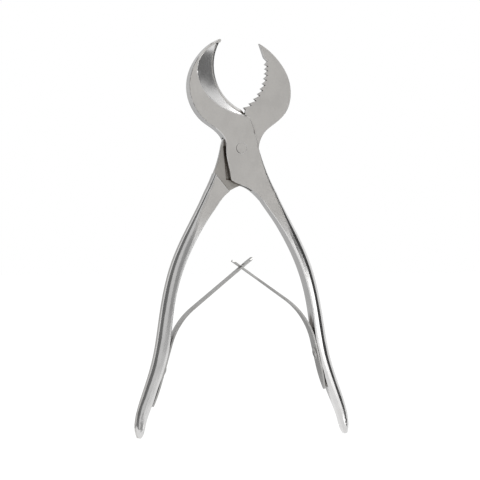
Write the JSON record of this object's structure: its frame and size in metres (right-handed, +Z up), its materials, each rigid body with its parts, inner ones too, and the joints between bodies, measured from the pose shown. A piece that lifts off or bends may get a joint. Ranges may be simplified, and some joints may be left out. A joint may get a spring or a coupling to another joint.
{
  "type": "plaster nippers",
  "caption": "Steel plaster nippers with a slotted scoop jaw, a toothed blade on a flush pivot, bowed handles and crossed leaf springs.",
  "frame": {"origin": "on the pivot axis, at the joint's front flat, where the pivot screw is ground flush", "axes": "+Z up from the handles to the jaws, +X to the side of the toothed blade, +Y from the front flat to the rear flat, along the pivot axis"},
  "size_m": [0.1296, 0.011, 0.2306],
  "materials": {
    "lever_steel": "satin flats on jaws and joint, polished handles",
    "pivot_steel": "satin, ground flush",
    "spring_steel": "polished spring steel",
    "screw_steel": "polished"
  },
  "bodies": {
    "fork_lever": {"fork_lever": "lever_steel", "pivot_screw": "pivot_steel", "right_spring_screw": "screw_steel"},
    "toothed_lever": {"toothed_lever": "lever_steel", "left_spring_screw": "screw_steel"},
    "left_spring": {"left_spring": "spring_steel"},
    "right_spring": {"right_spring": "spring_steel"}
  },
  "joints": [
    {"name": "jaw_pivot", "type": "hinge", "parent": "fork_lever", "child": "toothed_lever", "pos_m": [0, 0.0045, 0], "axis": [0, -1, 0], "range_deg": [0, 23], "stiffness_Nm_per_rad": 1, "springref_deg": -17.19},
    {"name": "left_spring_flex", "type": "hinge", "parent": "toothed_lever", "child": "left_spring", "pos_m": [-0.03455, 0.0045, -0.10185], "axis": [0, -1, 0], "range_deg": [0, 18], "deforming": ["left_spring"]},
    {"name": "right_spring_flex", "type": "hinge", "parent": "fork_lever", "child": "right_spring", "pos_m": [0.03618, 0.0045, -0.09929], "axis": [0, -1, 0], "range_deg": [-20.5, 0], "deforming": ["right_spring"]}
  ],
  "couplings": [
    {"joint": "left_spring_flex", "follows": "jaw_pivot", "ratio": 0.76},
    {"joint": "right_spring_flex", "follows": "jaw_pivot", "ratio": -0.87}
  ]
}
